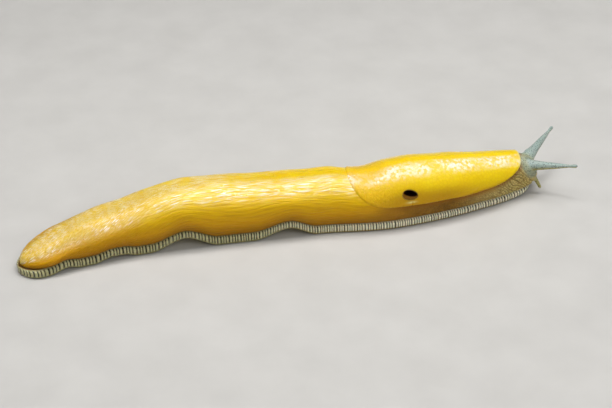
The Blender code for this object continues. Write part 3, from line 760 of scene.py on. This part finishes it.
across = share * side_length(at)
trunk = side * (1 - mantle) * (1 - fade(0.92, 1.0, around)) * (1 - 0.7 * olive)
furrowed = trunk > 0
furrow = np.zeros(len(points))
weave = np.zeros((len(points), 3))
weave[side, :2] = furrow_places(at[side], share[side])
network = np.exp(-cell_edges(weave[furrowed, :2], 3) / FURROW_SHARPNESS)
lengthwise = long_furrows(at[furrowed], weave[furrowed, 1])
furrow[furrowed] = network + (lengthwise - network) * fade(36, 56, at[furrowed])
furrow = furrow * trunk
granular = feeler * (1 - fade(0.94, 0.99, last))
pebbly = np.where(on_body, olive * (1 - fade(1.15, 1.2, around)), 0.0) + 0.6 * (shell_at == LIPS)
mantle_crease = grain(mantle > 0, MANTLE_GRAIN, 5) * mantle
pebble_crease = grain(pebbly > 0, PEBBLE, 7) * pebbly
# the neck's folds run down and forward
folds = at - FOLD_SLANT * (around * side_length(at)) + 0.7 * np.sin(at * 0.9) + 0.5 * np.sin(across * 1.3)
fold_crease = bell(folds / FOLD_SPACING % 1, 0.5, FOLD_WIDTH) * pebbly * on_body * fade(150, 160, at)
granule_crease = grain(granular > 0, GRANULE, 11) * granular
wrinkles = granular * (1 - fade(1.0, 6.0, at)) * np.sin(at * 7.5 + np.sin(turn * 2) * 1.5)

swells = np.sin(at * 0.43 + across * 0.25) + np.sin(at * 0.29 - across * 0.37 + 1)
swells = (swells + np.sin(across * 0.6 + at * 0.11)) * side * (1 - fade(0.8, 0.95, around))
ahead_of_pore, below_pore = at - PORE_AT, (around + PORE_SHARE) * side_length(at)
near_pore = side & (turn < 0) & (np.hypot(ahead_of_pore, below_pore) < 8)
hollow = bell(ahead_of_pore, 0, 3.6) * bell(below_pore, 0.6, 2.2)
pore_lip = bell(ahead_of_pore, 0, 2.6) * bell(below_pore, 2.5, 0.6)
slit = bell(ahead_of_pore + 0.12 * below_pore, 1.2, 0.17)
slit = slit * fade(1.4, 2.0, below_pore) * (1 - fade(3.4, 4.4, below_pore))
# a painted wet glint on the pore's lower lip, laid into the rim mark
rim = np.maximum(rim, near_pore * bell(ahead_of_pore, 0.5, 1.4) * bell(below_pore, 2.45, 0.4))
pit = side * bell(at, 3.6, 1.3) * bell(across, 0, 0.6)

relief = (
    -curve(FURROW_DEPTH, at) * furrow
    - MANTLE_GRAIN_DEPTH * mantle_crease
    - PEBBLE_DEPTH * pebble_crease
    - FOLD_DEPTH * fold_crease
    - GRANULE_DEPTH * granule_crease
    + WRINKLE_HEIGHT * wrinkles
    + SWELL_HEIGHT * swells
    + near_pore * (-HOLLOW_DEPTH * hollow + PORE_LIP_HEIGHT * pore_lip - SLIT_DEPTH * slit)
    - PIT_DEPTH * pit
)
# the crease mark: furrows, grain, folds, the pore's slit and the slime pit, painted darker as shade
creases = furrow, mantle_crease * MANTLE_GRAIN_SHADE, pebble_crease, fold_crease, granule_crease
crease = np.maximum.reduce((*creases, near_pore * slit, pit))

# the marks that the material's colours and shine follow
marks = {
    "mantle": mantle, "shield_rear": shield_rear, "rim": rim, "margin": margin, "below_margin": below_margin,
    "low": low, "lowest": lowest_flank, "tail_end": tail_end, "olive": olive, "head": head,
    "groove": groove, "fringe": fringe, "lower_lip": lower_lip, "ahead": ahead, "sole": sole,
    "feeler": granular_skin, "under": under, "hole": hole, "ledge": ledge, "nick": nick, "crease": crease,
    "wet": wet, "sheen": sheen * (1 - fade(0.1, 0.6, furrow)) * (1 - 0.35 * mantle_crease),
}
values = np.stack((relief, *marks.values()), -1)
values = relaxed(values, joints.astype(float), JOINT_ROUNDS)
near_joints = np.clip(closeness(joints & (shell_at != PORE), MARKS_SPREAD) * 1.5, 0, 1)
near_joints[joints] = 1
values = relaxed(values, near_joints, MARKS_ROUNDS)
points = points + values[:, :1] * outward
points[:, 2] = np.maximum(0, points[:, 2])
mesh.vertices.foreach_set("co", (points * MM).astype(np.float32).ravel())
for name, column in zip(marks, values[:, 1:].T):
    held = mesh.attributes.new(name, "FLOAT", "POINT")
    held.data.foreach_set("value", column.astype(np.float32))
held = mesh.attributes.new("weave", "FLOAT_VECTOR", "POINT")
held.data.foreach_set("vector", weave.astype(np.float32).ravel())
for name in ("lie", "shell"):
    mesh.attributes.remove(mesh.attributes[name])
mesh.update()
mesh.shade_smooth()
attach(skin, "root")
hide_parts(*[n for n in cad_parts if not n.startswith("eye")])


def paint(red, green, blue):
    """A colour as it looks on a screen, from 0 to 255, in the renderer's own values."""
    shares = (value / 255 for value in (red, green, blue))
    return (*(s / 12.92 if s <= 0.04 else ((s + 0.055) / 1.055) ** 2.4 for s in shares), 1.0)


def add_node(tree, kind, inputs=(), **settings):
    """A node with its settings made, and each input set to a value or joined to another node's output."""
    node = tree.nodes.new(kind)
    for name, value in settings.items():
        setattr(node, name, value)
    for name, value in dict(inputs).items():
        if isinstance(value, bpy.types.NodeSocket):
            tree.links.new(value, node.inputs[name])
        else:
            node.inputs[name].default_value = value
    return node


def start_material(name):
    """A new material, its empty tree, and where each point is, in the object's own measures."""
    material = bpy.data.materials.new(name)
    material.use_nodes = True
    tree = material.node_tree
    tree.nodes.clear()
    return material, tree, add_node(tree, "ShaderNodeTexCoord").outputs["Object"]


def add_surface(tree, inputs):
    """Ends a material's tree with a surface that has these inputs."""
    surface = add_node(tree, "ShaderNodeBsdfPrincipled", inputs)
    add_node(tree, "ShaderNodeOutputMaterial", {"Surface": surface.outputs["BSDF"]})


def mixed(tree, share, under, over, *more):
    """One colour with another laid over it by a share, or by the product of some shares."""
    for other in more:
        share = add_node(tree, "ShaderNodeMath", {0: share, 1: other}, operation="MULTIPLY").outputs[0]
    return add_node(tree, "ShaderNodeMix", {0: share, 6: under, 7: over}, data_type="RGBA").outputs[2]


def ranged(tree, value, low, high, to_low, to_high):
    """A value's range turned into another range."""
    return add_node(tree, "ShaderNodeMapRange", {
        "Value": value, "From Min": low, "From Max": high, "To Min": to_low, "To Max": to_high,
    }).outputs["Result"]


def cloud(tree, spot, scale, detail):
    """A soft random pattern, from about 0.3 to 0.7."""
    made = add_node(tree, "ShaderNodeTexNoise", {"Vector": spot, "Scale": scale, "Detail": detail})
    return made.outputs["Fac"]


def cell_pattern(tree, spot, scale, feature):
    """How far each point is from the middle or the edge of its cell."""
    inputs = {"Vector": spot, "Scale": scale}
    return add_node(tree, "ShaderNodeTexVoronoi", inputs, feature=feature).outputs["Distance"]


LEMON, GOLD, LOW_AMBER_AND_SHADE, LOWEST_UMBER_AND_SHADE = paint(250, 214, 4), paint(243, 196, 2), paint(210, 146, 1), paint(128, 82, 2)
MANTLE_LEMON, MANTLE_GOLD, RIM_LEMON_AND_GLINT = paint(248, 216, 6), paint(245, 200, 2), paint(250, 244, 160)
MANTLE_MUSTARD = paint(236, 190, 24)
MARGIN_SHADE_BROWN, CREASE_SHADE_AMBER = paint(186, 122, 4), paint(200, 138, 2)
OLIVE, OLIVE_DARK, HEAD_OLIVE = paint(162, 114, 22), paint(104, 74, 14), paint(226, 204, 122)
FEELER_BLUE, FEELER_GLOW_YELLOW, FEELER_SPECK = paint(158, 176, 168), paint(168, 156, 66), paint(62, 72, 64)
LOBE_CREAM, LOBE_GREY, NICK_AND_GROOVE_SHADE = paint(255, 249, 216), paint(194, 190, 140), paint(30, 25, 10)
LIP_OLIVE, LIP_GREY = paint(140, 118, 48), paint(140, 136, 88)
PAINTED_SHEEN, TAIL_END_SHADE_GOLD = paint(252, 247, 226), paint(186, 152, 4)
SOLE_CREAM, HOLE_SHADE, LEDGE_GOLD = paint(196, 184, 128), paint(26, 8, 4), paint(122, 80, 2)
UNDER_MANTLE_SHADE = paint(136, 86, 2)
# soft patterns, with their scale for each metre and their detail, and the scales of the cell patterns
BROAD, PATCHY, FINE, FLECKY, SHEEN_PATCHES = (90, 2), (420, 3), (2200, 2), (760, 4), (130, 2)
THREADS_SCALE, SPECKS_SCALE, GRAINS_SCALE = 1.5, 1700, 2400
# the marks whose colours are laid over what is there, and by how much: before and after the painted pale
# sheen
# before it: the mantle's rear in its own mustard, and painted shade at the tail's end
BEFORE_SHEEN = (("shield_rear", 0.8, MANTLE_MUSTARD), ("tail_end", 0.85, TAIL_END_SHADE_GOLD))
# after it: painted shade low down (partly own ochre), at the margin and in creases; the rim partly painted
# highlight
AFTER_SHEEN = (
    ("low", 0.8, LOW_AMBER_AND_SHADE), ("lowest", 0.8, LOWEST_UMBER_AND_SHADE), ("margin", 0.55, MARGIN_SHADE_BROWN), ("rim", 0.8, RIM_LEMON_AND_GLINT),
    ("crease", 0.45, CREASE_SHADE_AMBER),
)


def make_skin_material():
    """Wet yellow skin, painted pale sheen and shade, olive neck and head, grey-green feelers, cream fringe.
    """
    material, tree, spot = start_material("slug_skin")
    broad, patchy, fine = (cloud(tree, spot, *pattern) for pattern in (BROAD, PATCHY, FINE))
    broad_share = ranged(tree, broad, 0.36, 0.64, 0, 1)
    patchy_share = ranged(tree, patchy, 0.36, 0.64, 0, 1)
    fine_share = ranged(tree, fine, 0.35, 0.65, 0, 1)
    mark = {name: add_node(tree, "ShaderNodeAttribute", attribute_name=name).outputs["Fac"] for name in marks}
    weave_spot = add_node(tree, "ShaderNodeAttribute", attribute_name="weave").outputs["Vector"]
    threads = cell_pattern(tree, weave_spot, THREADS_SCALE, "DISTANCE_TO_EDGE")

    colour = mixed(tree, broad_share, LEMON, GOLD, 0.5)
    colour = mixed(tree, patchy_share, colour, GOLD, 0.3)
    mantle = mixed(tree, broad_share, MANTLE_LEMON, MANTLE_GOLD, 0.4)
    colour = mixed(tree, mark["mantle"], colour, mantle)
    for name, share, over in BEFORE_SHEEN:
        colour = mixed(tree, mark[name], colour, over, share)
    # the pale sheen is a painted highlight: streaks on trunk and tail, flecks on the mantle, in patches
    streaks = ranged(tree, threads, 0.1, 0.26, 0.1, 1.0)
    flecks = ranged(tree, cloud(tree, spot, *FLECKY), 0.45, 0.52, 0.15, 1.0)
    lights = {0: mark["mantle"], 2: streaks, 3: flecks}
    pale = add_node(tree, "ShaderNodeMix", lights, data_type="FLOAT").outputs[0]
    patches = ranged(tree, cloud(tree, spot, *SHEEN_PATCHES), 0.38, 0.52, 0.2, 1.0)
    colour = mixed(tree, pale, colour, PAINTED_SHEEN, mark["sheen"], patches)
    for name, share, over in AFTER_SHEEN:
        colour = mixed(tree, mark[name], colour, over, share)
    olive = mixed(tree, patchy_share, OLIVE, OLIVE_DARK, 0.6)
    olive = mixed(tree, mark["head"], olive, HEAD_OLIVE)
    # painted shade in the olive skin's creases
    olive = mixed(tree, mark["crease"], olive, OLIVE_DARK, 0.85)
    colour = mixed(tree, mark["olive"], colour, olive)
    colour = mixed(tree, mark["below_margin"], colour, UNDER_MANTLE_SHADE, 0.85)
    cream = mixed(tree, fine_share, LOBE_CREAM, LOBE_GREY, 0.15)
    grey = mixed(tree, fine_share, LOBE_GREY, LIP_GREY, 0.4)
    # the nicks between the lobes and the groove above the fringe are painted dark as shade
    lobe = mixed(tree, mark["nick"], mixed(tree, mark["ahead"], grey, cream), NICK_AND_GROOVE_SHADE)
    lobe = mixed(tree, mark["lower_lip"], lobe, mixed(tree, mark["ahead"], LIP_GREY, LIP_OLIVE))
    colour = mixed(tree, mark["fringe"], colour, lobe)
    colour = mixed(tree, mark["groove"], colour, NICK_AND_GROOVE_SHADE, 0.85)
    colour = mixed(tree, mark["sole"], colour, SOLE_CREAM)
    skin_of_feeler = mixed(tree, mark["under"], FEELER_BLUE, FEELER_GLOW_YELLOW)
    speck_share = ranged(tree, cell_pattern(tree, spot, SPECKS_SCALE, "F1"), 0.18, 0.42, 0.8, 0)
    skin_of_feeler = mixed(tree, speck_share, skin_of_feeler, FEELER_SPECK)
    colour = mixed(tree, mark["feeler"], colour, skin_of_feeler)
    colour = mixed(tree, mark["ledge"], colour, LEDGE_GOLD)
    colour = mixed(tree, mark["hole"], colour, HOLE_SHADE)

    grains = cell_pattern(tree, spot, GRAINS_SCALE, "DISTANCE_TO_EDGE")
    thread_height = ranged(tree, threads, 0, 0.16, 0, 1)
    grain_height = ranged(tree, grains, 0, 0.2, 0, 1)
    grainy = add_node(tree, "ShaderNodeMath", {0: mark["mantle"], 1: mark["olive"]}, operation="MAXIMUM")
    heights = {0: grainy.outputs[0], 2: thread_height, 3: grain_height}
    height = add_node(tree, "ShaderNodeMix", heights, data_type="FLOAT").outputs[0]
    bump = add_node(tree, "ShaderNodeBump", {"Height": height, "Strength": 0.6, "Distance": 0.00008})
    normal = bump.outputs["Normal"]
    add_surface(tree, {
        "Base Color": colour, "Roughness": ranged(tree, patchy, 0.35, 0.65, 0.30, 0.48),
        "Normal": normal, "Coat Normal": normal,
        "Subsurface Weight": 0.12, "Subsurface Scale": 0.001, "Coat Weight": mark["wet"],
        "Coat Roughness": 0.08, "Coat IOR": 1.6, "Specular IOR Level": 0.15,
    })
    return material


mesh.materials.clear()
mesh.materials.append(make_skin_material())

# The eyes
# Each is a black ball at the end of an upper tentacle, under a clear film, with only its front showing.
# It sits in the bulb's socket, so it stays a piece of its own.

EYE_RINGS, EYE_COLUMNS, CORNEA_RISE = 25, 40, 0.03
EYE_CLOUD, EYE_BLACK, EYE_BROWN = (6000, 3), paint(10, 9, 10), paint(34, 28, 26)


def make_eye(side, path):
    """One eye, in the socket at the end of its feeler."""
    start, way, across, upward = path
    centre = start + (way * (UPPER_LENGTH[side] + EYE_PROUD) + upward * UPPER_BEND) * MM
    polar = np.linspace(math.radians(3), math.radians(177), EYE_RINGS)[:, None]
    turns = np.linspace(0, 2 * math.pi, EYE_COLUMNS, endpoint=False)
    radius = EYE_RADIUS + CORNEA_RISE * fade(math.radians(132), math.radians(165), polar)
    ring = np.cos(turns)[:, None] * across + np.sin(turns)[:, None] * upward
    forward, out = (radius * -np.cos(polar))[..., None], (radius * np.sin(polar))[..., None]
    grid = centre + (forward * way + out * ring) * MM
    lie = np.stack(np.broadcast_arrays(polar, turns, 0.0), -1)
    eye = loft(f"{side}_eye", grid, lie, (0.01, 0.01, 0.98, 0.98))
    eye.data.shade_smooth()
    material, tree, spot = start_material(f"{side}_eye")
    clouded = cloud(tree, spot, *EYE_CLOUD)
    colour = mixed(tree, ranged(tree, clouded, 0.35, 0.65, 0, 1), EYE_BLACK, EYE_BROWN)
    add_surface(tree, {"Base Color": colour, "Roughness": 0.25, "Coat Weight": 1.0, "Coat Roughness": 0.05})
    eye.data.materials.append(material)
    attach(eye, "root")
    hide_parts(f"eye_{side}")


for side_name, path in upper_paths.items():
    make_eye(side_name, path)

# The studio
# A pale floor under a long softbox overhead, a wide one in front, and four small bright ones whose glints
# show how wet the skin is. The camera looks down from behind the slug's right side, as in the photo.

CAMERA_AZIMUTH, CAMERA_ELEVATION, CAMERA_DISTANCE = -18.7, 33.0, 0.564
CAMERA_TARGET = Vector((0.00428, 0.01003, 0.0))
LENS, SENSOR_WIDTH, WORLD_BRIGHTNESS = 100.0, 36.0, 0.06
FLOOR_CLOUD, FLOOR_GREY, FLOOR_PALE = (60, 4), paint(190, 188, 184), paint(197, 195, 191)
azimuth, elevation = math.radians(CAMERA_AZIMUTH), math.radians(CAMERA_ELEVATION)
back = Vector((
    math.sin(azimuth) * math.cos(elevation), -math.cos(azimuth) * math.cos(elevation), math.sin(elevation),
))
camera = bpy.data.objects.new("camera", bpy.data.cameras.new("camera"))
camera.data.lens, camera.data.sensor_width = LENS, SENSOR_WIDTH
camera.location = CAMERA_TARGET + back * CAMERA_DISTANCE
camera.rotation_euler = (-back).to_track_quat("-Z", "Y").to_euler()
bpy.context.scene.collection.objects.link(camera)
bpy.context.scene.camera = camera

floor_mesh = bpy.data.meshes.new("floor")
floor_mesh.from_pydata([(-2, -2, 0), (2, -2, 0), (2, 2, 0), (-2, 2, 0)], [], [(0, 1, 2, 3)])
floor = bpy.data.objects.new("floor", floor_mesh)
bpy.context.scene.collection.objects.link(floor)
floor_material, floor_tree, floor_spot = start_material("floor")
floor_share = ranged(floor_tree, cloud(floor_tree, floor_spot, *FLOOR_CLOUD), 0.3, 0.7, 0, 1)
floor_colour = mixed(floor_tree, floor_share, FLOOR_GREY, FLOOR_PALE)
add_surface(floor_tree, {"Base Color": floor_colour, "Roughness": 0.8})
floor_mesh.materials.append(floor_material)


def add_lamp(name, spot, size, brightness):
    """A softbox of a length and a width that faces the slug from its spot."""
    spot = Vector(spot)
    lamp = bpy.data.objects.new(name, bpy.data.lights.new(name, "AREA"))
    lamp.data.shape = "RECTANGLE"
    lamp.data.size, lamp.data.size_y = size
    lamp.data.energy = brightness * math.pi * size[0] * size[1]
    lamp.location = spot
    lamp.rotation_euler = spot.to_track_quat("Z", "Y").to_euler()
    bpy.context.scene.collection.objects.link(lamp)


add_lamp("overhead", (0.0, 0.06, 0.5), (1.0, 0.16), 5.4)
add_lamp("front", (0.1, -0.5, 0.45), (0.8, 0.4), 1.9)
for number, aside in enumerate((-0.3, -0.1, 0.1, 0.3)):
    add_lamp(f"spot_{number}", (aside, 0.16 * (number % 2) - 0.06, 0.55), (0.05, 0.05), 34.0)
world = bpy.data.worlds.new("studio")
world.use_nodes = True
world.node_tree.nodes["Background"].inputs["Color"].default_value = (1.0, 1.0, 1.0, 1.0)
world.node_tree.nodes["Background"].inputs["Strength"].default_value = WORLD_BRIGHTNESS
bpy.context.scene.world = world
bpy.context.scene.view_settings.view_transform = "Standard"
